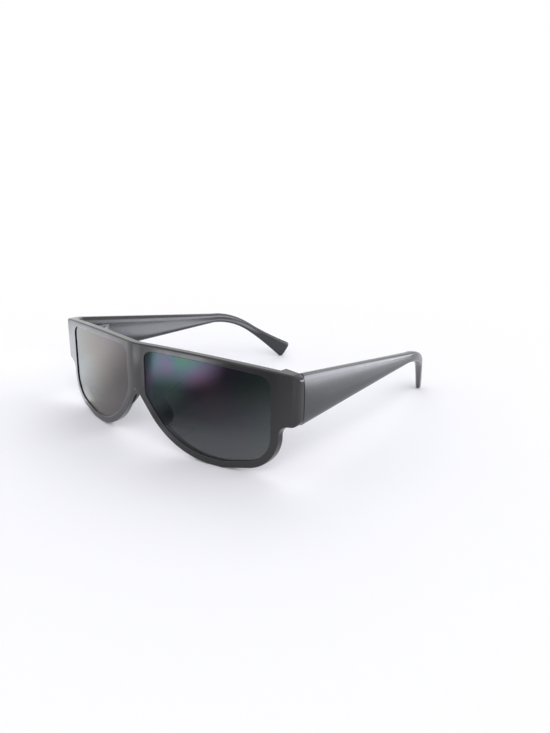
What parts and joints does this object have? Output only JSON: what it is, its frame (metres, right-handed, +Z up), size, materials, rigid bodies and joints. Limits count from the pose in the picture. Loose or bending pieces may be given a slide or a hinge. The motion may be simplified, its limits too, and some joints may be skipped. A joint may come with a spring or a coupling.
{
  "type": "flat top sunglasses",
  "caption": "Flat-topped sunglasses with D-shaped tinted lenses, wide tapering temples and riveted barrel hinges that fold.",
  "frame": {"origin": "on the table, midway across the front and midway between the face and the furthest point of the temple tips", "axes": "+X to the wearer's left, -Y the way the lenses face, +Z up; open, standing on both rims and both temple tips"},
  "size_m": [0.146, 0.1564, 0.045],
  "materials": {
    "frame_plastic": "polished black acetate",
    "temple_plastic": "polished black acetate",
    "lens": "smoke tinted lens with a faint reflective coating",
    "pad_plastic": "polished black acetate",
    "hinge_steel": "satin nickel-plated hinge",
    "screw_steel": "turned and slotted screw",
    "rivet_steel": "polished rivet heads",
    "core_wire": "drawn wire"
  },
  "bodies": {
    "front": {"front_frame": "frame_plastic", "left_lens": "lens", "right_lens": "lens", "left_nose_pad": "pad_plastic", "right_nose_pad": "pad_plastic", "left_front_hinge": "hinge_steel", "right_front_hinge": "hinge_steel", "left_front_rivets": "rivet_steel", "right_front_rivets": "rivet_steel", "left_hinge_screw": "screw_steel", "right_hinge_screw": "screw_steel"},
    "left_temple_arm": {"left_temple": "temple_plastic", "left_temple_hinge": "hinge_steel", "left_temple_rivets": "rivet_steel", "left_temple_core": "core_wire"},
    "right_temple_arm": {"right_temple": "temple_plastic", "right_temple_hinge": "hinge_steel", "right_temple_rivets": "rivet_steel", "right_temple_core": "core_wire"}
  },
  "joints": [
    {"name": "left_hinge", "type": "hinge", "parent": "front", "child": "left_temple_arm", "pos_m": [0.0667, -0.0568, 0.03202], "axis": [0, 0, 1], "range_deg": [0, 82]},
    {"name": "right_hinge", "type": "hinge", "parent": "front", "child": "right_temple_arm", "pos_m": [-0.0667, -0.0568, 0.03202], "axis": [0, 0, -1], "range_deg": [0, 67]}
  ]
}
